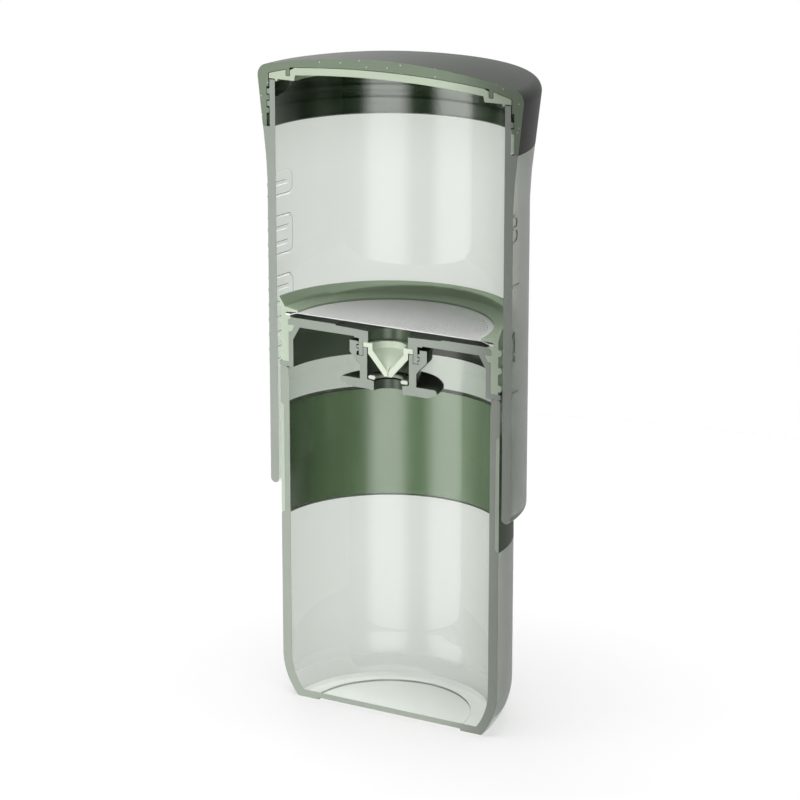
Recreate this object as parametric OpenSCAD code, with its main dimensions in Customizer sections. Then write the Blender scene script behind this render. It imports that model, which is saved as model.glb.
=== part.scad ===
// Travel coffee press: a brew chamber that is pushed down over a drinking cup,
// with a sealed piston head on the cup's rim and a screw cap on the chamber.
// Millimetres. The press stands on z = 0 with its axis on Z. Cut open, its flat face is y = 0.

/* [Section] */
// Degrees built round the axis: 180 is the press cut open, 360 the whole press
sweep = 180; // [180, 360]

/* [Brew chamber] */
// Radius of the bore
bore_r = 35.5; // [33:0.5:40]
// Wall of the chamber
chamber_wall = 2.65; // [2.4:0.05:3.6]
// Length from the lower end to the top of the neck
chamber_h = 114.8; // [105:0.2:125]
// Height of the lower end above the table
chamber_z = 62.8; // [56:0.2:68]
// Wall of the neck
neck_wall = 1.7; // [1.4:0.1:2.2]
// Height of the neck above the shoulder
neck_h = 13; // [12.6:0.2:15]
// Height of the flare below the shoulder
flare_h = 15; // [10:1:20]
// How far the flare stands out at the shoulder
flare_out = 1.25; // [0.6:0.05:1.6]

/* [Cap] */
// Thickness of the cap at its centre
cap_top_t = 2.9; // [2.5:0.05:4]
// Radius of the domed top
cap_dome_r = 180; // [150:5:240]
// Radius of the rounded shoulder
cap_corner_r = 3.25; // [2:0.25:3.5]
// Lean of the skirt
cap_lean = 6.3; // [4:0.1:7]
// Radial room for the thread between the neck and the skirt
thread_room = 1; // [0.8:0.05:1.2]
// Height of the skirt's wider, threaded part
thread_zone_h = 11; // [9:0.5:11.5]

/* [Cap liner] */
// Thickness of the liner's domed centre
liner_t = 2; // [1.6:0.05:2.4]
// Rise of the liner's centre above its ring rib
liner_dome_h = 2.05; // [1.8:0.05:2.4]
// Width of the liner's thick outer ring
liner_ring_w = 8; // [7:0.25:9]
// Rise of the liner's top from its edge to its ring rib
liner_slope_h = 1.5; // [1:0.1:1.8]
// Width of the cap's ring rib
ring_rib_w = 1.1; // [0.8:0.1:1.5]
// Depth of the cap's ring rib
ring_rib_h = 1.6; // [1:0.1:1.8]

/* [Cup] */
// Height of the cup's rim
cup_h = 97.35; // [90:0.05:105]
// Radial gap between the cup and the bore
cup_gap = 0.8; // [0.6:0.05:1.2]
// Wall of the cup
cup_wall = 2.9; // [2.6:0.1:3.4]
// Thickness of the floor above the table
cup_floor = 2.2; // [1.8:0.1:3]
// Height of the round bottom corner
cup_corner_h = 13; // [10:0.5:15]
// How far the bottom corner draws in at the table
cup_corner_in = 5; // [4:0.25:6]
// Width of the foot ring
foot_ring_w = 6.6; // [5:0.2:8]
// Depth of the recess inside the foot ring
foot_recess = 0.6; // [0.4:0.1:0.9]
// Radius of the rounded rim
rim_round = 0.7; // [0.4:0.05:0.9]
// How far the mouth opens out below the rim
mouth_out = 0.4; // [0.2:0.1:0.6]
// Height of the opened-out mouth
mouth_h = 4; // [3:0.5:6]

/* [Grip sleeve] */
// Thickness of the sleeve
grip_t = 1.2; // [1:0.1:1.5]
// Height of the sleeve's lower edge
grip_z = 54.1; // [50:0.1:58]
// Length of the sleeve
grip_h = 32.8; // [28:0.2:34]
// Chamfer of the sleeve's ends, along the axis
grip_chamfer = 0.8; // [0.5:0.1:1.2]

/* [Piston head] */
// Height of the plate's top above the head's seat on the cup's rim
head_h = 14.2; // [13.5:0.1:15]
// Thickness of the plate
plate_t = 2.55; // [2.2:0.05:3]
// Wall of the skirt
skirt_wall = 1.4; // [1.2:0.05:1.6]
// Thickness of the foot flange
foot_t = 1.4; // [1.1:0.1:1.8]
// Radius of the shallow well in the plate's top
well_r = 16.4; // [14:0.2:19]
// Depth of the well at the outlet hole
well_h = 0.65; // [0.4:0.05:0.9]
// Radius of the outlet hole
hole_r = 6.3; // [5.8:0.1:6.8]

/* [Piston seal] */
// Radial thickness of the seal's sleeve
seal_t = 2.25; // [2:0.05:2.5]
// Radial gap between the wiper lip and the bore
lip_gap = 0.35; // [0.3:0.05:0.6]
// Height of the wiper lip above the plate
lip_h = 5.5; // [4.5:0.1:6.5]
// Spacing of the three outer ribs
seal_rib_step = 4.9; // [4.4:0.1:5.1]
// Height of the lowest rib above the foot flange
seal_rib_z = 1.7; // [1.4:0.1:2]
// Radius of each rib's round section
seal_rib_r = 0.9; // [0.6:0.05:1]
// Width of the flange over the filter's edge
seal_flange_w = 5.3; // [4.6:0.1:6]

/* [Filter] */
// Thickness of the screen
screen_t = 0.25; // [0.2:0.05:0.35]
// Height of the screen above the plate
screen_z = 1.35; // [1.2:0.05:1.5]
// Rise of the screen's centre above its rim
screen_rise = 0.75; // [0.5:0.05:0.9]
// Width of the moulded rim
filter_rim_w = 1.5; // [1.2:0.1:1.8]
// Thickness of the moulded rim
filter_rim_t = 0.6; // [0.5:0.05:0.7]

/* [Valve and retainer] */
// Wall of the boss under the plate
boss_wall = 1.25; // [1.1:0.05:1.5]
// Length of the boss below the hub's seat
boss_h = 3.85; // [3.4:0.05:4.5]
// Thickness of the valve's flange
valve_flange_t = 1.3; // [1:0.1:1.5]
// Height of the valve from its seat to its tip
valve_h = 8.8; // [8:0.1:9]
// Wall of the valve's cone
valve_wall = 1.15; // [0.9:0.05:1.4]
// Radial room for the thread between the boss and the retainer
nut_thread_room = 0.75; // [0.6:0.05:0.9]
// Outer wall of the retainer
nut_wall = 2.2; // [1.8:0.1:2.6]
// Height of the retainer's straight upper wall
nut_h = 3.25; // [2.8:0.05:3.8]
// Height of the slanted part below it
nut_slant_h = 3.4; // [2.6:0.1:3.8]
// Wall of the retainer's stem
stem_wall = 2.3; // [2:0.1:2.6]
// Radius of the finger flange
finger_r = 15.3; // [13:0.1:18]
// Thickness of the finger flange
finger_t = 2.6; // [2:0.1:3]
// Radius of the spout
spout_r = 4.5; // [4:0.1:5]

/* [Hidden] */

$fn = 96;
eps = 0.01;
snug = 0.05;       // gap between pieces that stay together
turn_gap = 0.15;   // gap between pieces that turn or slide on each other

// Brew chamber
chamber_r = bore_r + chamber_wall;
neck_r = bore_r + neck_wall;
shoulder_r = chamber_r + flare_out;
chamber_top = chamber_z + chamber_h;
shoulder_z = chamber_top - neck_h;
end_r = chamber_wall / 2;

// Cup
cup_r = bore_r - cup_gap;
cup_in_r = cup_r - cup_wall;
cup_corner_thin = 1.3;
grip_r = cup_r - grip_t;
foot_r = cup_r - cup_corner_in;

// Piston head, measured up from its seat on the cup's rim
head_z = cup_h + snug;
skirt_r = cup_in_r;
skirt_in_r = skirt_r - skirt_wall;
head_flange_out = 0.1;
head_flange_r = cup_r + head_flange_out;
plate_z = head_h - plate_t;
tongue_out = 0.15;
tongue_rise = 0.4;
tongue_r = skirt_r + tongue_out;
tongue_z = plate_z + tongue_rise;
tongue_t = 1.25;
tongue_chamfer = 1.5;
groove_depth = 1.95;
groove_h = 2;
groove_slant = 0.95;
groove_r = skirt_r - groove_depth;
groove_z = tongue_z - groove_h;
corner_w = 2.15;
corner_h = 3.75;
well_step = 0.4;

// Piston seal
seal_in_r = skirt_r + snug;
seal_r = seal_in_r + seal_t;
lip_r = bore_r - lip_gap;
lip_z = head_h + lip_h;
lip_t = 0.5;
lip_foot_r = seal_r - seal_t / 2;
lip_foot_h = 2.85;
lip_root_drop = 0.6;
lip_foot_z = head_h + lip_foot_h;
lip_root_z = lip_foot_z - lip_root_drop;
flange_tip_r = seal_r - seal_flange_w;
flange_tip_t = 0.55;

// Filter
filter_edge = 1.25;
filter_r = seal_r - filter_edge;
screen_top = head_h + screen_z + screen_t;
filter_rim_z = head_h + screen_z + screen_t / 2 - screen_rise;
screen_flat_over = 0.3;
screen_flat_r = flange_tip_r + screen_flat_over;
rim_in_r = filter_r - filter_rim_w;
filter_slot_room = 0.4;
filter_slot_h = filter_rim_t / 2 + filter_slot_room;

// Valve, boss and retainer, measured up from the head's seat
hub_h = 1.25;
hub_step_w = 1.5;
hub_step_h = 0.35;
seat_z = plate_z - hub_h;
valve_top = seat_z - snug;
valve_flange_w = 1.5;
valve_neck_wall = 1.4;
valve_neck_h = 3.05;
valve_r = hole_r + valve_flange_w;
valve_in_r = hole_r - valve_neck_wall;
valve_neck_z = seat_z - valve_neck_h;
valve_tip_z = valve_top - valve_h;
slit_w = 0.2;
slit_l = 3;
boss_in_r = valve_r + turn_gap;
boss_r = boss_in_r + boss_wall;
nut_in_r = boss_r + nut_thread_room;
nut_r = nut_in_r + nut_wall;
stem_in_r = hole_r + 2 * turn_gap;
stem_r = stem_in_r + stem_wall;
nut_floor = seat_z - boss_h - turn_gap;
clamp_top = valve_top - valve_flange_t - turn_gap;
clamp_r = boss_in_r - turn_gap;
stem_top = seat_z - nut_h - nut_slant_h;
stem_h = 3.9;
finger_z = stem_top - stem_h;
finger_edge = 0.6;
finger_side = 0.5;
finger_bevel = 2.6;
spout_wall = 1.2;
spout_h = 0.2;
outlet_lip_rise = 0.15;
outlet_lip_drop = 0.35;
outlet_edge_gap = 0.4;
outlet_overhang = 0.5;
outlet_lip_z = finger_z + outlet_lip_rise;
outlet_r = stem_in_r - outlet_edge_gap;
outlet_in_r = spout_r - outlet_overhang;
outlet_t = 1.05;

// Cap liner and cap
liner_over = 0.1;
liner_gap = 0.3;
liner_edge_t = 1.4;
ring_rib_in = 1.4;
liner_ring_slant = 1;
liner_r = neck_r + liner_over;
liner_z = chamber_top + liner_gap;
liner_edge_top = liner_z + liner_edge_t;
liner_ring_r = liner_r - liner_ring_w;
liner_rib_r = liner_ring_r + ring_rib_in;
liner_rise_top = liner_edge_top + liner_slope_h;
liner_dome_r = 300;
liner_dome_top = liner_rise_top + liner_dome_h;
liner_dome_edge = liner_dome_top - liner_dome_r + sqrt(pow(liner_dome_r, 2) - pow(liner_rib_r, 2));
dome_chamfer_w = 1.3;
dome_chamfer_h = 0.6;
bead_r = 0.35;
bead_h = 0.3;
cap_room_r = liner_r + turn_gap + liner_over;
cap_thread_r = neck_r + thread_room;
cap_z = shoulder_z + snug;
cap_dome_top = liner_dome_top + turn_gap + cap_top_t;
cap_tip_r = shoulder_r + snug;

// Centre of the cap's rounded shoulder, where it touches both the leaning side and the dome
cap_dome_z = cap_dome_top - cap_dome_r;
side_off = cap_tip_r - cap_z * tan(cap_lean) - cap_corner_r / cos(cap_lean);
side_b = side_off * tan(cap_lean) - cap_dome_z;
side_a = 1 + tan(cap_lean) * tan(cap_lean);
side_c = side_off * side_off + cap_dome_z * cap_dome_z - pow(cap_dome_r - cap_corner_r, 2);
corner_z = (sqrt(side_b * side_b - side_a * side_c) - side_b) / side_a;
corner_x = side_off + corner_z * tan(cap_lean);
dome_angle = atan2(corner_x, corner_z - cap_dome_z);

// Colours
clear_grey = [0.72, 0.76, 0.72, 0.6];
cap_green = [0.36, 0.39, 0.35];
grey_plastic = [0.66, 0.69, 0.65];
light_green = [0.77, 0.83, 0.74];
dark_green = [0.25, 0.33, 0.24];
screen_white = [0.93, 0.92, 0.9];

// A piece turned about the press's axis from its half outline
module turned() {
  rotate_extrude(angle = sweep)
    children();
}

// Half outline of a vessel's side from the axis, with its bottom corner drawn in by an arc
module vessel_outline(radius, bottom, top, corner_top, draw_in) {
  rise = corner_top - bottom;
  arc_r = (draw_in * draw_in + rise * rise) / (2 * draw_in);
  translate([0, corner_top])
    square([radius, top - corner_top]);
  translate([0, bottom])
    square([radius - arc_r, rise]);
  intersection() {
    translate([radius - arc_r, corner_top])
      circle(arc_r);
    translate([0, bottom])
      square([radius, rise]);
  }
}

module cup() {
  color(clear_grey)
    turned()
      difference() {
        vessel_outline(cup_r, 0, cup_h, cup_corner_h, cup_corner_in);
        vessel_outline(cup_in_r, cup_floor, cup_h + eps, cup_corner_h, cup_corner_in - cup_corner_thin);
        polygon([
          [0, cup_h - mouth_h],
          [cup_in_r, cup_h - mouth_h],
          [cup_in_r + mouth_out, cup_h],
          [0, cup_h]
        ]);
        square([foot_r - foot_ring_w, foot_recess]);
        polygon([
          [grip_r, grip_z + grip_chamfer],
          [cup_r + eps, grip_z],
          [cup_r + eps, grip_z + grip_h],
          [grip_r, grip_z + grip_h - grip_chamfer]
        ]);
        rim_corner(cup_r, 1);
        rim_corner(cup_in_r + mouth_out, -1);
      }
}

// Waste outside a rounded edge of the cup's rim; side is 1 for the outer edge, -1 for the inner
module rim_corner(radius, side) {
  translate([radius - side * rim_round, cup_h - rim_round])
    difference() {
      translate([side > 0 ? 0 : -rim_round - eps, 0])
        square(rim_round + eps);
      circle(rim_round);
    }
}

module grip_sleeve() {
  color(dark_green)
    turned()
      polygon([
        [grip_r + snug, grip_z + grip_chamfer + snug],
        [cup_r, grip_z + snug],
        [cup_r, grip_z + grip_h - snug],
        [grip_r + snug, grip_z + grip_h - grip_chamfer - snug]
      ]);
}

module piston_head() {
  color(grey_plastic)
    translate([0, 0, head_z])
      turned() {
        polygon([
          [skirt_in_r, 0],
          [head_flange_r, 0],
          [head_flange_r, foot_t],
          [skirt_r, foot_t],
          [skirt_r, groove_z],
          [groove_r + groove_slant, groove_z],
          [groove_r, tongue_z],
          [tongue_r, tongue_z],
          [tongue_r, tongue_z + tongue_t],
          [tongue_r - tongue_chamfer, head_h],
          [well_r + well_step, head_h],
          [well_r, head_h - well_h / 2],
          [hole_r, head_h - well_h],
          [hole_r, seat_z],
          [boss_r, seat_z],
          [boss_r, plate_z - hub_step_h],
          [boss_r + hub_step_w, plate_z - hub_step_h],
          [boss_r + hub_step_w, plate_z],
          [skirt_in_r - corner_w, plate_z],
          [skirt_in_r, plate_z - corner_h]
        ]);
        translate([boss_in_r, seat_z - boss_h])
          square([boss_wall, boss_h]);
      }
}

module piston_seal() {
  color(light_green)
    translate([0, 0, head_z])
      turned()
        difference() {
          union() {
            polygon([
              [seal_in_r, foot_t + snug],
              [seal_r, foot_t + snug],
              [seal_r, lip_root_z],
              [lip_r, lip_z],
              [lip_r - lip_t, lip_z],
              [lip_foot_r, lip_foot_z],
              [flange_tip_r, screen_top + snug + flange_tip_t],
              [flange_tip_r, screen_top + snug],
              [filter_r - filter_rim_t / 2, filter_rim_z + filter_slot_h],
              [filter_r - filter_rim_t / 2, filter_rim_z],
              [rim_in_r, filter_rim_z],
              [rim_in_r, head_h + snug],
              [groove_r + snug, head_h + snug],
              [groove_r + snug, tongue_z],
              [groove_r + groove_slant + snug, groove_z + snug],
              [seal_in_r, groove_z + snug]
            ]);
            for (i = [0 : 2])
              translate([lip_r - seal_rib_r, foot_t + seal_rib_z + i * seal_rib_step])
                circle(seal_rib_r);
          }
          filter_groove();
          tongue_groove();
        }
}

// Room in the seal for the filter's rim
module filter_groove() {
  translate([rim_in_r - eps, filter_rim_z - filter_rim_t / 2 - snug])
    square([filter_rim_w + snug, filter_rim_t + 2 * snug]);
}

// Room in the seal for the plate's tongue and its chamfered edge
module tongue_groove() {
  polygon([
    [groove_r, tongue_z - snug],
    [tongue_r + snug, tongue_z - snug],
    [tongue_r + snug, tongue_z + tongue_t + snug],
    [tongue_r - tongue_chamfer, head_h + 2 * snug],
    [groove_r, head_h + 2 * snug]
  ]);
}

module filter_screen() {
  color(screen_white)
    translate([0, 0, head_z])
      turned()
        polygon([
          [0, screen_top - screen_t],
          [screen_flat_r, screen_top - screen_t],
          [rim_in_r, filter_rim_z - screen_t / 2],
          [rim_in_r, filter_rim_z + screen_t / 2],
          [screen_flat_r, screen_top],
          [0, screen_top]
        ]);
}

module filter_rim() {
  color(screen_white)
    translate([0, 0, head_z + filter_rim_z])
      turned() {
        translate([rim_in_r, -filter_rim_t / 2])
          square([filter_rim_w - filter_rim_t / 2, filter_rim_t]);
        translate([filter_r - filter_rim_t / 2, 0])
          circle(filter_rim_t / 2);
      }
}

module valve() {
  color(light_green)
    translate([0, 0, head_z])
      difference() {
        turned()
          polygon([
            [valve_in_r, valve_top],
            [valve_r, valve_top],
            [valve_r, valve_top - valve_flange_t],
            [hole_r, valve_top - valve_flange_t],
            [hole_r, valve_neck_z],
            [valve_wall, valve_tip_z],
            [0, valve_tip_z],
            [0, valve_tip_z + valve_wall],
            [valve_in_r, valve_neck_z + valve_wall]
          ]);
        translate([-slit_w / 2, -slit_l / 2, valve_tip_z - eps])
          cube([slit_w, slit_l, valve_neck_z - valve_tip_z]);
      }
}

module valve_retainer() {
  finger_low = finger_z - finger_t;
  color(grey_plastic)
    translate([0, 0, head_z])
      turned()
        polygon([
          [spout_r, finger_low - spout_h],
          [spout_r + spout_wall, finger_low - spout_h],
          [spout_r + spout_wall, finger_low],
          [finger_r - finger_bevel, finger_low],
          [finger_r, finger_z - finger_edge - finger_side],
          [finger_r, finger_z - finger_edge],
          [finger_r - finger_edge, finger_z],
          [stem_r, finger_z],
          [stem_r, stem_top],
          [nut_r, seat_z - nut_h],
          [nut_r, seat_z],
          [nut_in_r, seat_z],
          [nut_in_r, nut_floor],
          [clamp_r, nut_floor],
          [clamp_r, clamp_top],
          [stem_in_r, clamp_top],
          [stem_in_r, outlet_lip_z],
          [spout_r, outlet_lip_z - outlet_lip_drop]
        ]);
}

module outlet_ring() {
  ring_r = outlet_t / 2;
  color(screen_white)
    translate([0, 0, head_z + outlet_lip_z + turn_gap + ring_r])
      turned() {
        translate([outlet_in_r + ring_r, -ring_r])
          square([outlet_r - outlet_in_r - outlet_t, outlet_t]);
        for (edge = [outlet_in_r + ring_r, outlet_r - ring_r])
          translate([edge, 0])
            circle(ring_r);
      }
}

module chamber() {
  color(clear_grey)
    turned() {
      polygon([
        [bore_r, chamber_z + end_r],
        [chamber_r, chamber_z + end_r],
        [chamber_r, shoulder_z - flare_h],
        [chamber_r + flare_out / 3, shoulder_z - flare_h / 2],
        [shoulder_r, shoulder_z],
        [neck_r, shoulder_z],
        [neck_r, chamber_top],
        [bore_r, chamber_top]
      ]);
      translate([bore_r + end_r, chamber_z + end_r])
        circle(end_r);
    }
}

// Half outline under the liner's top, grown by gap where the cap clears it
module liner_top_outline(gap) {
  polygon([
    [0, liner_z],
    [liner_r + gap, liner_z],
    [liner_r + gap, liner_edge_top + gap],
    [liner_rib_r + ring_rib_w, liner_rise_top + gap],
    [0, liner_rise_top + gap]
  ]);
  intersection() {
    translate([0, liner_dome_top + gap - liner_dome_r])
      circle(liner_dome_r);
    translate([0, liner_rise_top])
      square([liner_rib_r, liner_dome_top + gap - liner_rise_top]);
  }
}

module cap_liner() {
  color(light_green)
    turned() {
      difference() {
        liner_top_outline(0);
        intersection() {
          translate([0, liner_dome_top - liner_t - liner_dome_r])
            circle(liner_dome_r);
          polygon([
            [0, liner_z - eps],
            [liner_ring_r, liner_z - eps],
            [liner_ring_r - liner_ring_slant, liner_dome_top],
            [0, liner_dome_top]
          ]);
        }
        polygon([
          [liner_rib_r - dome_chamfer_w, liner_dome_edge + dome_chamfer_h],
          [liner_rib_r - dome_chamfer_w, liner_dome_edge],
          [liner_rib_r, liner_dome_edge - dome_chamfer_h],
          [liner_rib_r, liner_dome_edge + dome_chamfer_h]
        ]);
        translate([liner_rib_r - turn_gap, liner_rise_top - ring_rib_h - turn_gap])
          square([ring_rib_w + 2 * turn_gap, 2 * ring_rib_h + liner_t]);
      }
      translate([bore_r - turn_gap - 2 * bead_r, liner_z - bead_h])
        square([2 * bead_r, bead_h]);
      translate([bore_r - turn_gap - bead_r, liner_z - bead_h])
        circle(bead_r);
    }
}

module cap() {
  color(cap_green)
    turned() {
      difference() {
        cap_outline();
        liner_top_outline(turn_gap);
        square([cap_room_r, liner_edge_top]);
        square([cap_thread_r, cap_z + thread_zone_h]);
      }
      translate([liner_rib_r, liner_rise_top - ring_rib_h])
        square([ring_rib_w, ring_rib_h + turn_gap + eps]);
    }
}

// Solid half outline of the cap: leaning side, rounded shoulder and dome
module cap_outline() {
  side_touch = [corner_x + cap_corner_r * cos(cap_lean), corner_z - cap_corner_r * sin(cap_lean)];
  dome_touch = cap_dome_r * [sin(dome_angle), cos(dome_angle)] + [0, cap_dome_z];
  polygon([
    [0, cap_z],
    [cap_tip_r, cap_z],
    side_touch,
    [corner_x, corner_z],
    dome_touch,
    [0, dome_touch[1]]
  ]);
  translate([corner_x, corner_z])
    circle(cap_corner_r);
  intersection() {
    translate([0, cap_dome_z])
      circle(cap_dome_r);
    translate([0, dome_touch[1] - eps])
      square([dome_touch[0], cap_dome_top]);
  }
}

cup();
grip_sleeve();
piston_head();
piston_seal();
filter_screen();
filter_rim();
valve();
valve_retainer();
outlet_ring();
chamber();
cap_liner();
cap();
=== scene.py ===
import math

import bmesh
import bpy
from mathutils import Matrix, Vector
from mathutils.bvhtree import BVHTree
from mathutils.geometry import barycentric_transform


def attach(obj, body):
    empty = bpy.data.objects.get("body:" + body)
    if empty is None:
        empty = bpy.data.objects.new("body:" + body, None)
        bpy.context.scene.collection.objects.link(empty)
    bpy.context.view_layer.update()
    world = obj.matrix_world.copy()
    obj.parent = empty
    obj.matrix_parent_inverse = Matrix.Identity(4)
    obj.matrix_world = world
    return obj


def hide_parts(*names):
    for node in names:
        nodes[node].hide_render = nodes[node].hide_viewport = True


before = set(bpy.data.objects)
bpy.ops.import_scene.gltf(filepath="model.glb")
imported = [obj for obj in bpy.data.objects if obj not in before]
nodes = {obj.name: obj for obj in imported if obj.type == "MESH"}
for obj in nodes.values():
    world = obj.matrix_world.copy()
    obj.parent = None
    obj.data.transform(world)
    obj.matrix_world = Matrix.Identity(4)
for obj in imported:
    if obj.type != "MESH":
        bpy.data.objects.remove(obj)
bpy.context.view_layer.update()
scene = bpy.context.scene
scene.view_settings.view_transform = "Standard"


# Viewpoint
# A long lens stands a little to the right of the cut face and above it, and looks down at the
# middle of the press, so that the cut face, the inside and a strip of the outside all show.
VIEW_AZIMUTH = math.radians(30.15)
VIEW_ELEVATION = math.radians(16.5)
VIEW_DISTANCE = 0.8789
VIEW_HEIGHT = 0.09239
VIEW_ASIDE = 0.00329
LENS_MM = 144.77
SENSOR_MM = 36
CLIP_NEAR = 0.01

to_right = Vector((math.cos(VIEW_AZIMUTH), math.sin(VIEW_AZIMUTH), 0))
to_camera = Vector((
    math.sin(VIEW_AZIMUTH) * math.cos(VIEW_ELEVATION),
    -math.cos(VIEW_AZIMUTH) * math.cos(VIEW_ELEVATION),
    math.sin(VIEW_ELEVATION),
))
camera = bpy.data.objects.new("camera", bpy.data.cameras.new("camera"))
camera.data.lens = LENS_MM
camera.data.sensor_width = SENSOR_MM
camera.data.clip_start = CLIP_NEAR
camera.location = Vector((0, 0, VIEW_HEIGHT)) + to_right * VIEW_ASIDE + to_camera * VIEW_DISTANCE
camera.rotation_euler = (-to_camera).to_track_quat("-Z", "Y").to_euler()
scene.collection.objects.link(camera)
scene.camera = camera


# Studio
# A spot with tall, narrow barn doors lights the cut face and leaves its right edge in shade. Softboxes
# left and right of it show only as gloss, one hangs overhead and one lights the back. A ring of black
# flags, thin cloth behind, gives the clear walls their edges, on a white sweep.
SPOT_WATTS = 27.0
SPOT_DISTANCE = 1.0
SPOT_HEIGHT = 0.02
SPOT_AIM = (-0.018, 0, 0.1)
SPOT_RADIUS = 0.01
SPOT_CONE = math.radians(60)
SPOT_NARROWED = 0.0901
SPOT_EDGE = 0.466
SOFTBOX_AIM = (0, 0, 0.09)
SOFTBOX_EDGE = 0.34
WHITE = (1, 1, 1)
FLOOR_R = 0.42
FLOOR_SIDES = 96
FLOOR_WHITE = (0.9, 0.9, 0.9)
FLOOR_ROUGH = 0.9
FLOOR_FADE_R = 0.16
FLOOR_COVER = 0.6
FLOOR_LIFT = 0.13
FLAG_R = 1.7
FLAG_TALL = 3.2
FLAG_SIDES = 64
FLAG_BLACK = (0.004, 0.004, 0.004)
FLAG_ROUGH = 1
FLAG_THINS = (0.95, 1.45)
FLAG_THIN_COVER = 0.3
AMBIENT = 0.19


def feed(tree, socket, value):
    """Gives a socket a number, a colour, or what another node puts out."""
    if isinstance(value, bpy.types.NodeSocket):
        tree.links.new(value, socket)
    elif isinstance(value, tuple):
        socket.default_value = (*value, 1)
    else:
        socket.default_value = value


def calc(tree, operation, *values):
    """What a math node makes of its values."""
    node = tree.nodes.new("ShaderNodeMath")
    node.operation = operation
    for socket, value in zip(node.inputs, values):
        feed(tree, socket, value)
    return node.outputs["Value"]


def eased(tree, value, start, end, low, high):
    """Runs softly from low to high while a value runs from start to end."""
    node = tree.nodes.new("ShaderNodeMapRange")
    node.interpolation_type = "SMOOTHSTEP"
    limits = {"Value": value, "From Min": start, "From Max": end, "To Min": low, "To Max": high}
    for name, limit in limits.items():
        feed(tree, node.inputs[name], limit)
    return node.outputs["Result"]


def axes_of(tree, vector):
    node = tree.nodes.new("ShaderNodeSeparateXYZ")
    tree.links.new(vector, node.inputs["Vector"])
    return node.outputs


def length_of(tree, vector):
    node = tree.nodes.new("ShaderNodeVectorMath")
    node.operation = "LENGTH"
    tree.links.new(vector, node.inputs[0])
    return node.outputs["Value"]


def mix_shader(tree, share, first, second):
    node = tree.nodes.new("ShaderNodeMixShader")
    for socket, source in zip(node.inputs, (share, first, second)):
        tree.links.new(source, socket)
    return node.outputs["Shader"]


def place_on(tree):
    """Coordinates fixed to the piece itself."""
    return tree.nodes.new("ShaderNodeTexCoord").outputs["Object"]


def light_path(tree):
    return tree.nodes.new("ShaderNodeLightPath").outputs


def barn_door_spot():
    """A spot straight before the cut face, squeezed by barn doors to a tall strip with soft edges."""
    lamp = bpy.data.lights.new("spot_front", "SPOT")
    lamp.energy = SPOT_WATTS
    lamp.spot_size = SPOT_CONE
    lamp.spot_blend = SPOT_EDGE
    lamp.shadow_soft_size = SPOT_RADIUS
    stand = bpy.data.objects.new("spot_front", lamp)
    stand.location = (SPOT_AIM[0], -SPOT_DISTANCE, SPOT_HEIGHT)
    stand.rotation_euler = (Vector(SPOT_AIM) - stand.location).to_track_quat("-Z", "Y").to_euler()
    stand.scale = (SPOT_NARROWED, 1, 1)
    stand.visible_camera = False
    stand.visible_glossy = False
    stand.visible_transmission = False
    scene.collection.objects.link(stand)


def softbox(name, azimuth, distance, height, width, tall, watts, only_gloss=False):
    """A lamp behind a cloth that glows less towards its edges, aimed at the middle of the press."""
    lamp = bpy.data.lights.new(name, "AREA")
    lamp.shape = "RECTANGLE"
    lamp.size = width
    lamp.size_y = tall
    lamp.energy = watts
    lamp.use_nodes = True
    tree = lamp.node_tree
    cloth = axes_of(tree, tree.nodes.new("ShaderNodeNewGeometry").outputs["Parametric"])
    from_edge = [calc(tree, "PINGPONG", cloth[axis], 0.5) for axis in "XY"]
    glow = [eased(tree, inward, 0, SOFTBOX_EDGE, 0, 1) for inward in from_edge]
    tree.links.new(calc(tree, "MULTIPLY", *glow), tree.nodes["Emission"].inputs["Strength"])
    stand = bpy.data.objects.new(name, lamp)
    turn = math.radians(azimuth)
    stand.location = (math.sin(turn) * distance, -math.cos(turn) * distance, height)
    stand.rotation_euler = (Vector(SOFTBOX_AIM) - stand.location).to_track_quat("-Z", "Y").to_euler()
    stand.visible_camera = False
    stand.visible_diffuse = not only_gloss
    scene.collection.objects.link(stand)


def plain_surface(thing, name, colour, roughness):
    """Gives a thing of the studio a surface, and hands out its node tree and its shader's sockets."""
    surface = bpy.data.materials.new(name)
    surface.use_nodes = True
    thing.data.materials.append(surface)
    tree = surface.node_tree
    sockets = tree.nodes["Principled BSDF"].inputs
    feed(tree, sockets["Base Color"], colour)
    feed(tree, sockets["Roughness"], roughness)
    return tree, sockets


def white_floor():
    """The sweep under the press takes its shadow, fades out round it and stays out of reflections."""
    bpy.ops.mesh.primitive_circle_add(vertices=FLOOR_SIDES, radius=FLOOR_R, fill_type="NGON")
    floor = bpy.context.object
    floor.name = "floor"
    tree, sockets = plain_surface(floor, "white_sweep", FLOOR_WHITE, FLOOR_ROUGH)
    path = light_path(tree)
    direct = calc(tree, "LESS_THAN", path["Glossy Depth"], 0.5)
    cover = eased(tree, length_of(tree, place_on(tree)), FLOOR_FADE_R, FLOOR_R, FLOOR_COVER, 0)
    feed(tree, sockets["Alpha"], calc(tree, "MULTIPLY", direct, cover))
    looked_at = calc(tree, "MAXIMUM", path["Is Camera Ray"], path["Is Transmission Ray"])
    feed(tree, sockets["Emission Color"], WHITE)
    feed(tree, sockets["Emission Strength"], calc(tree, "MULTIPLY", looked_at, FLOOR_LIFT))


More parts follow.
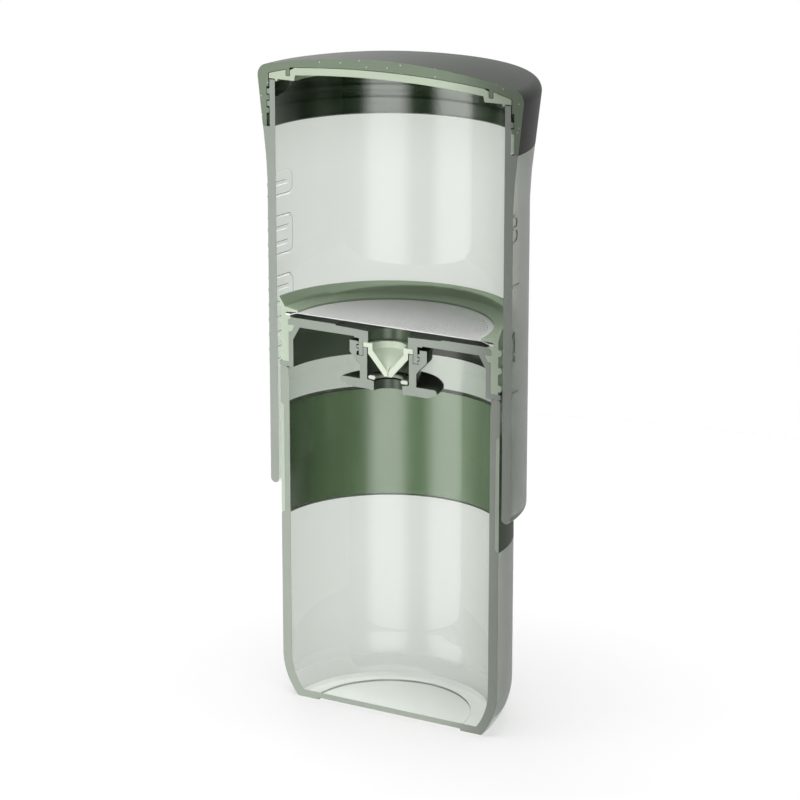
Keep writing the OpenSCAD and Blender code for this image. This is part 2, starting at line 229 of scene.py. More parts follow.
def black_flags():
    """A tall ring of black cloth, thinner behind the press, that shows only in reflections."""
    bpy.ops.mesh.primitive_cylinder_add(
        vertices=FLAG_SIDES, radius=FLAG_R, depth=FLAG_TALL, end_fill_type="NOTHING"
    )
    flags = bpy.context.object
    flags.name = "flags"
    tree, sockets = plain_surface(flags, "flag", FLAG_BLACK, FLAG_ROUGH)
    mirrored = calc(tree, "GREATER_THAN", light_path(tree)["Glossy Depth"], 0.5)
    backward = axes_of(tree, place_on(tree))["Y"]
    cover = eased(tree, backward, *FLAG_THINS, 1, FLAG_THIN_COVER)
    feed(tree, sockets["Alpha"], calc(tree, "MULTIPLY", mirrored, cover))
    flags.visible_camera = False
    flags.visible_diffuse = False
    flags.visible_shadow = False


def white_surroundings():
    """A little light from all round, and white where it is seen, mirrored or looked at through plastic."""
    world = bpy.data.worlds.new("white_sweep")
    world.use_nodes = True
    scene.world = world
    tree = world.node_tree
    ambient = tree.nodes["Background"]
    white = tree.nodes.new("ShaderNodeBackground")
    for background, strength in ((ambient, AMBIENT), (white, 1)):
        feed(tree, background.inputs["Color"], WHITE)
        feed(tree, background.inputs["Strength"], strength)
    path = light_path(tree)
    seen = calc(tree, "MAXIMUM", path["Is Camera Ray"], path["Is Glossy Ray"])
    shown = calc(tree, "MAXIMUM", seen, path["Is Transmission Ray"])
    either = mix_shader(tree, shown, ambient.outputs["Background"], white.outputs["Background"])
    tree.links.new(either, tree.nodes["World Output"].inputs["Surface"])


barn_door_spot()
softbox(
    "softbox_right", azimuth=31, distance=1.0, height=-0.1, width=0.95, tall=1.2, watts=9.5,
    only_gloss=True,
)
softbox(
    "softbox_left", azimuth=-33, distance=0.5, height=-0.04, width=0.52, tall=0.6, watts=2.8,
    only_gloss=True,
)
softbox("softbox_back", azimuth=228, distance=1.1, height=0.55, width=1.0, tall=0.7, watts=5.5)
softbox("softbox_top", azimuth=0, distance=0.05, height=1.3, width=1.1, tall=1.1, watts=32.0)
white_floor()
black_flags()
white_surroundings()


# Cup
# The drinking cup is blow-moulded in clear, slightly smoky copolyester, with a foot ring under its
# round bottom corner. Where the press is cut open, the saw has left the wall's edge matt and pale.
CUT_DEPTH = 0.00006
CLEAR = (249, 251, 249)
CLEAR_DEEP = (243, 246, 243)
CLEAR_IOR = 1.5
SMOKE = (0.30, 0.37, 0.26)
POLISH = (0.015, 0.045)
SATIN = (0.26, 0.36)
SAWN_ROUGH = (0.4, 0.6)
FLOW_SCALE = 60
FLOW_STRETCH = (1, 1, 0.25)
SAWN_SCALE = 45
SATIN_SCALE = 900
CLEAR_BUMP = 0.00002
SHADOW_PASS = (0.93, 0.93, 0.93)
CUP_SMOKE = 135
CUP_CUT = (164, 171, 160)
CUP_CUT_DEEP = (146, 153, 142)
CUP_SATIN_R = 0.0332
CUP_SATIN_TOP = 0.1


def shade(red, green, blue):
    """A colour given as it looks on a screen, from 0 to 255, as the shader wants it."""
    parts = [c / 255 for c in (red, green, blue)]
    return tuple(c / 12.92 if c <= 0.04045 else ((c + 0.055) / 1.055) ** 2.4 for c in parts)


def new_finish(name):
    """A material, its node tree, its shader and the coordinates fixed to the piece."""
    finish = bpy.data.materials.new(name)
    finish.use_nodes = True
    tree = finish.node_tree
    return finish, tree, tree.nodes["Principled BSDF"], place_on(tree)


def mix_colour(tree, share, first, second):
    node = tree.nodes.new("ShaderNodeMix")
    node.data_type = "RGBA"
    feed(tree, node.inputs[0], share)
    feed(tree, node.inputs[6], first)
    feed(tree, node.inputs[7], second)
    return node.outputs[2]


def two_tone(tree, share, deep, pale):
    """A colour between two that are given as they look on a screen."""
    return mix_colour(tree, share, shade(*deep), shade(*pale))


def mix_value(tree, share, first, second):
    node = tree.nodes.new("ShaderNodeMix")
    feed(tree, node.inputs[0], share)
    feed(tree, node.inputs[2], first)
    feed(tree, node.inputs[3], second)
    return node.outputs[0]


def point_of(tree, x, y, z):
    node = tree.nodes.new("ShaderNodeCombineXYZ")
    for socket, value in zip(node.inputs, (x, y, z)):
        feed(tree, socket, value)
    return node.outputs["Vector"]


def cloud(tree, place, scale, detail=3, stretch=(1, 1, 1)):
    """Soft noise from 0 to 1 in the piece's own coordinates, per metre, stretched along its axes."""
    mapping = tree.nodes.new("ShaderNodeMapping")
    mapping.inputs["Scale"].default_value = stretch
    noise = tree.nodes.new("ShaderNodeTexNoise")
    noise.inputs["Scale"].default_value = scale
    noise.inputs["Detail"].default_value = detail
    tree.links.new(place, mapping.inputs["Vector"])
    tree.links.new(mapping.outputs["Vector"], noise.inputs["Vector"])
    return noise.outputs["Fac"]


def cut_mask(tree, place):
    """1 on the flat face where the press is cut open, 0 elsewhere."""
    return calc(tree, "LESS_THAN", axes_of(tree, place)["Y"], CUT_DEPTH)


def zone(tree, place, side, radius, top):
    """1 where a face is on one side of a radius from the axis and lower than a height, 0 elsewhere."""
    axes = axes_of(tree, place)
    out = length_of(tree, point_of(tree, axes["X"], axes["Y"], 0.0))
    low = calc(tree, "LESS_THAN", axes["Z"], top)
    return calc(tree, "MULTIPLY", calc(tree, side, out, radius), low)


def bump(tree, shader, height, depth):
    node = tree.nodes.new("ShaderNodeBump")
    node.inputs["Strength"].default_value = 1
    node.inputs["Distance"].default_value = depth
    tree.links.new(height, node.inputs["Height"])
    tree.links.new(node.outputs["Normal"], shader.inputs["Normal"])


def clear_plastic(name, smoke, cut, cut_deep, polish, satin_from, satin_below, ior):
    """Clear plastic, smoky in its depth, polished inside, satin outside and matt where it is cut."""
    finish, tree, shader, place = new_finish(name)
    output = tree.nodes["Material Output"].inputs
    depth = tree.nodes.new("ShaderNodeVolumeAbsorption")
    feed(tree, depth.inputs["Color"], SMOKE)
    feed(tree, depth.inputs["Density"], smoke)
    tree.links.new(depth.outputs["Volume"], output["Volume"])
    on_cut = cut_mask(tree, place)
    off_cut = calc(tree, "SUBTRACT", 1, on_cut)
    flow = cloud(tree, place, FLOW_SCALE, 2, FLOW_STRETCH)
    grain = cloud(tree, place, SATIN_SCALE)
    body = two_tone(tree, flow, CLEAR_DEEP, CLEAR)
    face = two_tone(tree, cloud(tree, place, SAWN_SCALE), cut_deep, cut)
    feed(tree, shader.inputs["Base Color"], mix_colour(tree, on_cut, body, face))
    feed(tree, shader.inputs["Transmission Weight"], off_cut)
    outside = zone(tree, place, "GREATER_THAN", satin_from, satin_below)
    gloss = mix_value(tree, outside, mix_value(tree, flow, *polish), mix_value(tree, grain, *SATIN))
    matt = mix_value(tree, grain, *SAWN_ROUGH)
    feed(tree, shader.inputs["Roughness"], mix_value(tree, on_cut, gloss, matt))
    feed(tree, shader.inputs["IOR"], ior)
    bump(tree, shader, mix_value(tree, on_cut, flow, grain), CLEAR_BUMP)
    open_to_lamps = tree.nodes.new("ShaderNodeBsdfTransparent")
    feed(tree, open_to_lamps.inputs["Color"], SHADOW_PASS)
    shadow = calc(tree, "MULTIPLY", light_path(tree)["Is Shadow Ray"], off_cut)
    surface = mix_shader(tree, shadow, shader.outputs["BSDF"], open_to_lamps.outputs["BSDF"])
    tree.links.new(surface, output["Surface"])
    return finish


def dress(node, finish):
    """Gives a node of the frame its finish."""
    piece = nodes[node]
    piece.data.materials.clear()
    piece.data.materials.append(finish)


cup_clear = clear_plastic(
    "cup_clear", smoke=CUP_SMOKE, cut=CUP_CUT, cut_deep=CUP_CUT_DEEP, polish=POLISH,
    satin_from=CUP_SATIN_R, satin_below=CUP_SATIN_TOP, ior=CLEAR_IOR,
)
dress("cup", cup_clear)


# Grip sleeve
# A band of dark green silicone lies flush in a recess of the cup's wall and shows through it from
# the inside. It is moulded with a fine satin grain and stretched into its place.
SLEEVE_INNER_R = 0.0338
SLEEVE_TOP = 0.0869
DRIFT_SCALE = 70
CUT_ROUGH = 0.5
LINING_ROUGH = 0.2


def satin_piece(name, skin, skin_deep, cut, cut_deep, roughness, grain_scale, grain_depth):
    """Moulded plastic or silicone: a satin skin with a fine grain, and a paler face where it is cut."""
    finish, tree, shader, place = new_finish(name)
    on_cut = cut_mask(tree, place)
    grain = cloud(tree, place, grain_scale, 4)
    drift = cloud(tree, place, DRIFT_SCALE, 2)
    outside = two_tone(tree, drift, skin_deep, skin)
    inside = two_tone(tree, drift, cut_deep, cut)
    feed(tree, shader.inputs["Base Color"], mix_colour(tree, on_cut, outside, inside))
    polish = mix_value(tree, grain, *roughness)
    feed(tree, shader.inputs["Roughness"], mix_value(tree, on_cut, polish, CUT_ROUGH))
    bump(tree, shader, grain, grain_depth)
    return finish


def gloss_and_painted_shading_inside(finish, radius, top, painted_shading, painted_shading_deep):
    """Gives faces nearer the axis than a radius and lower than a height a glossy skin and a colour of
    painted light and shade in place of the skin's own.
    """
    tree = finish.node_tree
    sockets = tree.nodes["Principled BSDF"].inputs
    place = place_on(tree)
    off_cut = calc(tree, "SUBTRACT", 1, cut_mask(tree, place))
    inside = calc(tree, "MULTIPLY", zone(tree, place, "LESS_THAN", radius, top), off_cut)
    # The tone inside is painted light and shade, not the material's own colour: lighter inside the sleeve,
    # darker inside the cap.
    shading_tone = two_tone(tree, cloud(tree, place, DRIFT_SCALE, 2), painted_shading_deep, painted_shading)
    colour, rough = (sockets[name].links[0].from_socket for name in ("Base Color", "Roughness"))
    feed(tree, sockets["Base Color"], mix_colour(tree, inside, colour, shading_tone))
    feed(tree, sockets["Roughness"], mix_value(tree, inside, rough, LINING_ROUGH))
    feed(tree, sockets["Coat Weight"], inside)
    feed(tree, sockets["Coat Roughness"], LINING_ROUGH)


sleeve_green = satin_piece(
    "sleeve_green", skin=(71, 86, 63), skin_deep=(63, 78, 56), cut=(188, 202, 182),
    cut_deep=(176, 190, 170), roughness=(0.5, 0.65), grain_scale=2500, grain_depth=0.000006,
)
# Where the band shows through the cup, its inside is painted a lighter green than its skin: painted light.
gloss_and_painted_shading_inside(
    sleeve_green, radius=SLEEVE_INNER_R, top=SLEEVE_TOP, painted_shading=(107, 134, 95), painted_shading_deep=(98, 124, 87)
)
dress("grip_sleeve", sleeve_green)


# Piston head
# One injection-moulded part in dark grey-green plastic: foot flange, skirt, plate with a shallow well
# and a threaded boss under its hole. The boss's thread is a single raised ridge, one turn each 2 mm.
OVER_CUT = math.radians(3)
CUT_SHY = 0.000004
SAW_BLOCK = 0.4
SAW_HEIGHT = 0.1
SAME_POINT = 1e-8
SHARP_EDGE = math.radians(30)
RIDGE_SUNK = 0.00008
RIDGE_THIN = 0.05
RIDGE_RUN_IN = 0.2
BOSS_R = 0.0092
BOSS_PITCH = 0.002
BOSS_RIDGES = ((0.1053, -OVER_CUT),)
BOSS_RIDGE_DEPTH = 0.00063
BOSS_RIDGE_ROOT = 0.00085
BOSS_RIDGE_CREST = 0.0006

head_grey = satin_piece(
    "head_grey", skin=(83, 94, 77), skin_deep=(67, 78, 62), cut=(155, 163, 153),
    cut_deep=(142, 150, 140), roughness=(0.18, 0.3), grain_scale=1800, grain_depth=0.00001,
)
dress("piston_head", head_grey)


def add_inputs(tree, inputs):
    for name, kind, value in inputs:
        item = tree.interface.new_socket(name, in_out="INPUT", socket_type="NodeSocket" + kind)
        if value is not None:
            item.default_value = value
    tree.interface.new_socket("Geometry", in_out="OUTPUT", socket_type="NodeSocketGeometry")
    return tree.nodes.new("NodeGroupInput").outputs, tree.nodes.new("NodeGroupOutput").inputs


def finish_tree(tree, geometry, output, finish_socket):
    """Ends a tree: real geometry with its finish on it."""
    real = tree.nodes.new("GeometryNodeRealizeInstances")
    coat = tree.nodes.new("GeometryNodeSetMaterial")
    tree.links.new(geometry, real.inputs["Geometry"])
    tree.links.new(real.outputs["Geometry"], coat.inputs["Geometry"])
    tree.links.new(finish_socket, coat.inputs["Material"])
    tree.links.new(coat.outputs["Geometry"], output["Geometry"])


def thread_ridge_tree():
    """A helical ridge over part of the kept half, which climbs by its pitch in one turn."""
    tree = bpy.data.node_groups.new("thread_ridge", "GeometryNodeTree")
    given, output = add_inputs(tree, (
        ("Radius", "Float", 0.01), ("Pitch", "Float", 0.002), ("Height", "Float", 0.1),
        ("Start", "Float", 0.0), ("Sweep", "Float", math.pi), ("Depth", "Float", 0.0006),
        ("Root", "Float", 0.0007), ("Crest", "Float", 0.0005), ("Run in", "Float", 0.0),
        ("Steps", "Int", 96), ("Finish", "Material", None),
    ))
    arc = tree.nodes.new("GeometryNodeCurveArc")
    sources = {"Resolution": "Steps", "Radius": "Radius", "Start Angle": "Start", "Sweep Angle": "Sweep"}
    for name, source in sources.items():
        tree.links.new(given[source], arc.inputs[name])
    along = tree.nodes.new("GeometryNodeSplineParameter").outputs["Factor"]
    turned = calc(tree, "MULTIPLY_ADD", along, given["Sweep"], given["Start"])
    climb = calc(tree, "MULTIPLY", turned, calc(tree, "DIVIDE", given["Pitch"], math.tau))
    height = calc(tree, "ADD", climb, given["Height"])
    lift = tree.nodes.new("GeometryNodeSetPosition")
    tree.links.new(arc.outputs["Curve"], lift.inputs["Geometry"])
    tree.links.new(point_of(tree, 0.0, 0.0, height), lift.inputs["Offset"])
    upright = tree.nodes.new("GeometryNodeSetCurveNormal")
    upright.mode = "Z_UP"
    tree.links.new(lift.outputs["Geometry"], upright.inputs["Curve"])
    width = tree.nodes.new("GeometryNodeSetCurveRadius")
    tree.links.new(upright.outputs["Curve"], width.inputs["Curve"])
    tree.links.new(eased(tree, along, 0.0, given["Run in"], RIDGE_THIN, 1.0), width.inputs["Radius"])
    tooth = tree.nodes.new("GeometryNodeCurvePrimitiveQuadrilateral")
    tooth.mode = "POINTS"
    deep = given["Depth"]
    corners = ((0.0, "Root", 0.5), (deep, "Crest", 0.5), (deep, "Crest", -0.5), (0.0, "Root", -0.5))
    for number, (out, size, share) in enumerate(corners, 1):
        across = calc(tree, "MULTIPLY", given[size], share)
        tree.links.new(point_of(tree, out, across, 0.0), tooth.inputs[f"Point {number}"])
    swept = tree.nodes.new("GeometryNodeCurveToMesh")
    tree.links.new(width.outputs["Curve"], swept.inputs["Curve"])
    tree.links.new(tooth.outputs["Curve"], swept.inputs["Profile Curve"])
    swept.inputs["Fill Caps"].default_value = True
    finish_tree(tree, swept.outputs["Mesh"], output, given["Finish"])
    return tree


def grow(tree, **values):
    """The plain mesh that a node tree makes from these inputs."""
    holder = bpy.data.objects.new("grown", bpy.data.meshes.new("grown"))
    scene.collection.objects.link(holder)
    modifier = holder.modifiers.new("grow", "NODES")
    modifier.node_group = tree
    for item in tree.interface.items_tree:
        key = item.name.replace(" ", "_").lower()
        if item.in_out == "INPUT" and key in values:
            modifier[item.identifier] = values[key]
    ready = holder.evaluated_get(bpy.context.evaluated_depsgraph_get())
    mesh = bpy.data.meshes.new_from_object(ready)
    bpy.data.objects.remove(holder)
    return mesh


def boolean(mesh, other, operation):
    """The plain mesh of two closed meshes put together by an exact boolean."""
    holders = [bpy.data.objects.new("holder", m) for m in (mesh, other)]
    for holder in holders:
        scene.collection.objects.link(holder)
    modifier = holders[0].modifiers.new("boolean", "BOOLEAN")
    modifier.operation = operation
    modifier.solver = "EXACT"
    modifier.use_self = True
    modifier.object = holders[1]
    ready = holders[0].evaluated_get(bpy.context.evaluated_depsgraph_get())
    whole = bpy.data.meshes.new_from_object(ready)
    for holder in holders:
        bpy.data.objects.remove(holder)
    return whole


def joined(meshes):
    """Meshes of one finish as one mesh, faces outward."""
    solid = bmesh.new()
    for mesh in meshes:
        solid.from_mesh(mesh)
    bmesh.ops.remove_doubles(solid, verts=solid.verts, dist=SAME_POINT)
    bmesh.ops.recalc_face_normals(solid, faces=solid.faces)
    whole = bpy.data.meshes.new("joined")
    solid.to_mesh(whole)
    solid.free()
    whole.materials.append(meshes[0].materials[0])
    return whole


def sawn(meshes):
    """Meshes as one, cut off where the press is cut open."""
    block = bmesh.new()
    bmesh.ops.create_cube(block, size=SAW_BLOCK)
    bmesh.ops.translate(block, verts=block.verts, vec=(0, CUT_SHY + SAW_BLOCK / 2, SAW_HEIGHT))
    half = bpy.data.meshes.new("half")
    block.to_mesh(half)
    block.free()
    return boolean(joined(meshes), half, "INTERSECT")


def thread(ridges, radius, pitch, depth, root, crest, finish):
    """The ridges of a thread, sawn off at the cut; one that starts inside the half starts thin."""
    return sawn([
        grow(
            thread_ridge, radius=radius, pitch=pitch, height=height, start=start,
            sweep=math.pi + OVER_CUT - start, depth=depth, root=root, crest=crest,
            run_in=0.0 if start < 0 else RIDGE_RUN_IN, finish=finish,
        )
        for height, start in ridges
    ])


def piece_of(name, mesh, body):
    """A mesh as a piece of its own that rides on a body, smooth but for its sharp edges."""
    mesh.polygons.foreach_set("use_smooth", [True] * len(mesh.polygons))
    mesh.set_sharp_from_angle(angle=SHARP_EDGE)
    piece = bpy.data.objects.new(name, mesh)
    scene.collection.objects.link(piece)
    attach(piece, body)
    return piece


thread_ridge = thread_ridge_tree()
boss_thread = thread(
    BOSS_RIDGES, radius=BOSS_R - RIDGE_SUNK, pitch=BOSS_PITCH, depth=BOSS_RIDGE_DEPTH + RIDGE_SUNK,
    root=BOSS_RIDGE_ROOT, crest=BOSS_RIDGE_CREST, finish=head_grey,
)
piece_of("boss_thread", boss_thread, "piston")


# Piston seal
# A pale green silicone sleeve is stretched over the head: three round ribs, a wiper lip that scrapes
# the bore and a flange over the filter's edge. Its locking rib sits in a slanted groove of the head.
seal_green = satin_piece(
    "seal_green", skin=(162, 179, 154), skin_deep=(148, 165, 140), cut=(196, 209, 189),
    cut_deep=(176, 192, 168), roughness=(0.4, 0.55), grain_scale=2200, grain_depth=0.00002,
)
dress("piston_seal", seal_green)


# Filter
# A fine perforated steel disc with a plain border, dished at its edge into a moulded white rim.
# The holes are punched in staggered columns, and none lies on the cut.
SCREEN_TOP = 0.1132
SCREEN_T = 0.00025
SCREEN_MID = SCREEN_TOP - SCREEN_T / 2
SCREEN_FLAT_R = 0.0291
SCREEN_EDGE_R = 0.03135
SCREEN_DROP = 0.00075
HOLE_STEP = 0.00125
HOLE_R = 0.00033
HOLE_COLUMNS = 53
HOLE_ROWS = 24
HOLED_R = 0.0279
CELL_POINTS = 12
CELL_TURN = math.tau / CELL_POINTS
CELL_JOIN = 1e-7
BORDER_R = 0.0272
BORDER_PROUD = 0.000004
STEEL = (238, 236, 232)
STEEL_DEEP = (205, 204, 200)
STEEL_ROUGH = (0.28, 0.42)
STEEL_METALLIC = 0.6
STREAK_SCALE = 400
STREAK_STRETCH = (0.2, 1, 1)
STREAK_DEPTH = 0.00001


def steel_finish():
    """Etched stainless steel, satin, slightly streaked."""
    finish, tree, shader, place = new_finish("screen_steel")
    streak = cloud(tree, place, STREAK_SCALE, stretch=STREAK_STRETCH)
    feed(tree, shader.inputs["Base Color"], two_tone(tree, streak, STEEL_DEEP, STEEL))
    feed(tree, shader.inputs["Roughness"], mix_value(tree, streak, *STEEL_ROUGH))
    feed(tree, shader.inputs["Metallic"], STEEL_METALLIC)
    bump(tree, shader, streak, STREAK_DEPTH)
    return finish


def hole_cell(half):
    """A six-sided cell of the sheet with one hole, or a half cell without a hole along the cut."""
    cell = bmesh.new()
    side = HOLE_STEP / 2
    corner = side / math.cos(CELL_TURN)
    top, low = SCREEN_T / 2, -SCREEN_T / 2
    ways = [(math.cos(CELL_TURN * i), math.sin(CELL_TURN * i)) for i in range(CELL_POINTS)]
    reaches = [corner, side] * (CELL_POINTS // 2)
    outline = [(reach * x, reach * y) for reach, (x, y) in zip(reaches, ways)]
    if half:
        points = outline[:CELL_POINTS // 2 + 1]
        upper = [cell.verts.new((x, y, top)) for x, y in points]
        lower = [cell.verts.new((x, y, low)) for x, y in points]
        cell.faces.new(upper)
        cell.faces.new(lower[::-1])
        cell.faces.new((lower[0], upper[0], upper[-1], lower[-1]))
    else:
        hole = [(HOLE_R * x, HOLE_R * y) for x, y in ways]
        levels = ((outline, top), (hole, top), (hole, low), (outline, low))
        rings = [[cell.verts.new((x, y, z)) for x, y in ring] for ring, z in levels]
        for first, second in zip(rings, rings[1:]):
            for i in range(CELL_POINTS):
                j = (i + 1) % CELL_POINTS
                cell.faces.new((first[i], first[j], second[j], second[i]))
    mesh = bpy.data.meshes.new("half_cell" if half else "hole_cell")
    cell.to_mesh(mesh)
    cell.free()
    return bpy.data.objects.new(mesh.name, mesh)


def point_axes(tree):
    """The coordinates of the points that a tree works on."""
    return axes_of(tree, tree.nodes.new("GeometryNodeInputPosition").outputs["Position"])


def perforated_tree(cell, edge_cell):
    """Staggered columns of holed cells over a half disc, each second one ending in a solid half cell."""
    tree = bpy.data.node_groups.new("perforated_disc", "GeometryNodeTree")
    given, output = add_inputs(tree, (
        ("Reach", "Float", HOLED_R), ("Step", "Float", HOLE_STEP), ("Height", "Float", SCREEN_TOP),
        ("Columns", "Int", HOLE_COLUMNS), ("Rows", "Int", HOLE_ROWS), ("Finish", "Material", None),
    ))
    column_step = calc(tree, "MULTIPLY", given["Step"], math.sqrt(3) / 2)
    wide = calc(tree, "MULTIPLY", column_step, calc(tree, "SUBTRACT", given["Columns"], 1.0))
    deep = calc(tree, "MULTIPLY", given["Step"], calc(tree, "SUBTRACT", given["Rows"], 1.0))
    grid = tree.nodes.new("GeometryNodeMeshGrid")
    tree.links.new(given["Columns"], grid.inputs["Vertices X"])
    tree.links.new(given["Rows"], grid.inputs["Vertices Y"])
    tree.links.new(wide, grid.inputs["Size X"])
    tree.links.new(deep, grid.inputs["Size Y"])
    axes = point_axes(tree)
    from_left = calc(tree, "MULTIPLY_ADD", wide, 0.5, axes["X"])
    column = calc(tree, "ROUND", calc(tree, "DIVIDE", from_left, column_step))
    odd = calc(tree, "MODULO", column, 2.0)
    half_step = calc(tree, "MULTIPLY", given["Step"], 0.5)
    back = calc(tree, "MULTIPLY_ADD", deep, 0.5, calc(tree, "MULTIPLY", odd, half_step))
    stagger = tree.nodes.new("GeometryNodeSetPosition")
    tree.links.new(grid.outputs["Mesh"], stagger.inputs["Geometry"])
    tree.links.new(point_of(tree, 0.0, back, given["Height"]), stagger.inputs["Offset"])
    far = length_of(tree, point_of(tree, axes["X"], axes["Y"], 0.0))
    trim = tree.nodes.new("GeometryNodeDeleteGeometry")
    tree.links.new(stagger.outputs["Geometry"], trim.inputs["Geometry"])
    tree.links.new(calc(tree, "GREATER_THAN", far, given["Reach"]), trim.inputs["Selection"])
    on_cut = calc(tree, "LESS_THAN", axes["Y"], calc(tree, "MULTIPLY", half_step, 0.5))
    off_cut = calc(tree, "SUBTRACT", 1.0, on_cut)
    both = tree.nodes.new("GeometryNodeJoinGeometry")
    for holder, chosen in ((cell, off_cut), (edge_cell, on_cut)):
        shape = tree.nodes.new("GeometryNodeObjectInfo")
        shape.inputs["Object"].default_value = holder
        spread = tree.nodes.new("GeometryNodeInstanceOnPoints")
        tree.links.new(trim.outputs["Geometry"], spread.inputs["Points"])
        tree.links.new(chosen, spread.inputs["Selection"])
        tree.links.new(shape.outputs["Geometry"], spread.inputs["Instance"])
        tree.links.new(spread.outputs["Instances"], both.inputs["Geometry"])
    finish_tree(tree, both.outputs["Geometry"], output, given["Finish"])
    return tree


def edge_closed(mesh):
    """The flat sheet of cells with a wall round its outer edge, from its upper to its lower face."""
    sheet = bmesh.new()
    sheet.from_mesh(mesh)
    bmesh.ops.remove_doubles(sheet, verts=sheet.verts, dist=CELL_JOIN)
    rim = [e for e in sheet.edges if e.is_boundary and all(v.co.z > SCREEN_MID for v in e.verts)]
    wall = bmesh.ops.extrude_edge_only(sheet, edges=rim)["geom"]
    foot = [v for v in wall if isinstance(v, bmesh.types.BMVert)]
    bmesh.ops.translate(sheet, verts=foot, vec=(0, 0, -SCREEN_T))
    bmesh.ops.remove_doubles(sheet, verts=sheet.verts, dist=CELL_JOIN)
    sheet.to_mesh(mesh)
    sheet.free()
    return mesh


def half_turned(outline, finish, steps=128):
    """A solid turned half round the axis from a closed outline of radius and height."""
    mesh = bpy.data.meshes.new("half_turned")
    solid = bmesh.new()
    rings = []
    for i in range(steps + 1):
        x, y = math.cos(math.pi * i / steps), abs(math.sin(math.pi * i / steps))
        rings.append([solid.verts.new((r * x, r * y, z)) for r, z in outline])
    count = len(outline)
    for first, second in zip(rings, rings[1:]):
        for i in range(count):
            j = (i + 1) % count
            solid.faces.new((first[i], first[j], second[j], second[i]))
    solid.faces.new(rings[0])
    solid.faces.new(rings[-1][::-1])
    bmesh.ops.recalc_face_normals(solid, faces=solid.faces)
    solid.to_mesh(mesh)
    solid.free()
    mesh.materials.append(finish)
    return mesh


screen_steel = steel_finish()
cell, edge_cell = hole_cell(False), hole_cell(True)
holes = grow(perforated_tree(cell, edge_cell), height=SCREEN_MID, finish=screen_steel)
for holder in (cell, edge_cell):
    bpy.data.objects.remove(holder)
half_thick = BORDER_PROUD + SCREEN_T / 2
border = half_turned([
    (BORDER_R, SCREEN_MID - half_thick),
    (SCREEN_FLAT_R, SCREEN_MID - half_thick),
    (SCREEN_EDGE_R, SCREEN_MID - SCREEN_DROP - half_thick),
    (SCREEN_EDGE_R, SCREEN_MID - SCREEN_DROP + half_thick),
    (SCREEN_FLAT_R, SCREEN_MID + half_thick),
    (BORDER_R, SCREEN_MID + half_thick),
], screen_steel)
filter_disc = piece_of("filter_disc", joined([edge_closed(holes), border]), "piston")
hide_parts("filter_screen")

rim_white = satin_piece(
    "rim_white", skin=(240, 236, 229), skin_deep=(230, 226, 219), cut=(250, 246, 240),
    cut_deep=(243, 239, 232), roughness=(0.35, 0.5), grain_scale=1500, grain_depth=0.00001,
)
dress("filter_rim", rim_white)


# Valve
# A duckbill of soft pale silicone is clamped under the head's hole. Its cone closes in a slit that
# opens only when the press is pushed down.
valve_pale = satin_piece(
    "valve_pale", skin=(206, 216, 197), skin_deep=(194, 206, 184), cut=(218, 227, 209),
    cut_deep=(206, 217, 196), roughness=(0.35, 0.5), grain_scale=2600, grain_depth=0.00001,
)
dress("valve", valve_pale)


# Valve retainer and outlet ring
# The retainer is a moulded nut with a finger flange and a short spout. It screws up over the boss and
# holds the valve's flange; a pale silicone ring lies loose in its throat.
NUT_R = 0.00995
NUT_RIDGES = ((0.1043, -OVER_CUT), (0.1063, -OVER_CUT))
NUT_RIDGE_DEPTH = 0.00063

retainer_grey = satin_piece(
    "retainer_grey", skin=(74, 85, 69), skin_deep=(59, 69, 56), cut=(155, 163, 153),
    cut_deep=(142, 150, 140), roughness=(0.25, 0.38), grain_scale=1800, grain_depth=0.00001,
)
dress("valve_retainer", retainer_grey)
nut_thread = thread(
    NUT_RIDGES, radius=NUT_R + RIDGE_SUNK, pitch=BOSS_PITCH, depth=-NUT_RIDGE_DEPTH - RIDGE_SUNK,
    root=BOSS_RIDGE_ROOT, crest=BOSS_RIDGE_CREST, finish=retainer_grey,
)
piece_of("nut_thread", nut_thread, "retainer")

# The ring's skin is painted much darker than its pale cut: painted shade of the deep throat it lies in.
ring_pale = satin_piece(
    "ring_pale", skin=(150, 160, 146), skin_deep=(138, 148, 134), cut=(214, 220, 208),
    cut_deep=(203, 210, 196), roughness=(0.4, 0.55), grain_scale=2600, grain_depth=0.00001,
)
dress("outlet_ring", ring_pale)


# Brew chamber
# The outer tube is moulded in the same clear plastic, with a flared shoulder and a threaded neck.
# Raised ticks, their frames and plain numbers on its outside measure the water.
CHAMBER_R = 0.03815
CHAMBER_SMOKE = 130
CHAMBER_CUT = (158, 165, 156)
CHAMBER_CUT_DEEP = (140, 148, 139)
CHAMBER_SATIN_R = 0.0366
SHOULDER_Z = 0.1646
NECK_R = 0.0372
NECK_PITCH = 0.0034
NECK_RIDGES = ((0.1726, -OVER_CUT), (0.1692, math.radians(38)))
NECK_RIDGE_DEPTH = 0.00085
NECK_RIDGE_ROOT = 0.0016
NECK_RIDGE_CREST = 0.0013
NECK_STANDOFF = 0.000002
NECK_POLISH = (0.05, 0.1)
NECK_IOR = 1.15
MARK_RISE = 0.00012
MARK_SUNK = 0.00006
MARK_FLANK = 0.00025
FRAMES = ((0.1482, 0.0067), (0.1335, 0.0108), (0.1101, 0.0236))
FRAME_ARC = math.radians(14.3)
FRAME_WIDTH = 0.0008
FRAME_STEPS = 180
LEFT_TICKS = ((0.1482, 1), (0.1312, 2), (0.1015, 5))
LEFT_STEP = 0.00427
LEFT_ARC = math.radians(11.5)
LEFT_WIDTH = 0.0014
RIGHT_TICKS = (0.1290, 0.0994)
RIGHT_ARC = math.radians(6.2)
NUMBER_RISE = 0.0002
NUMBER_WIDTH = 0.0011
EIGHT_RINGS = ((0.14302, 0.00395, 0.0045, 0.0019), (0.14652, 0.0034, 0.0041, 0.0016))
EIGHT_MIDDLE = 0.0004
EIGHT_STEPS = 64
FOUR_STROKES = (
    (0.0016, 0.1083, 0.0, 0.0082), (-0.0026, 0.1105, 0.0053, 0.0), (-0.0024, 0.1106, 0.0038, 0.0057),
)
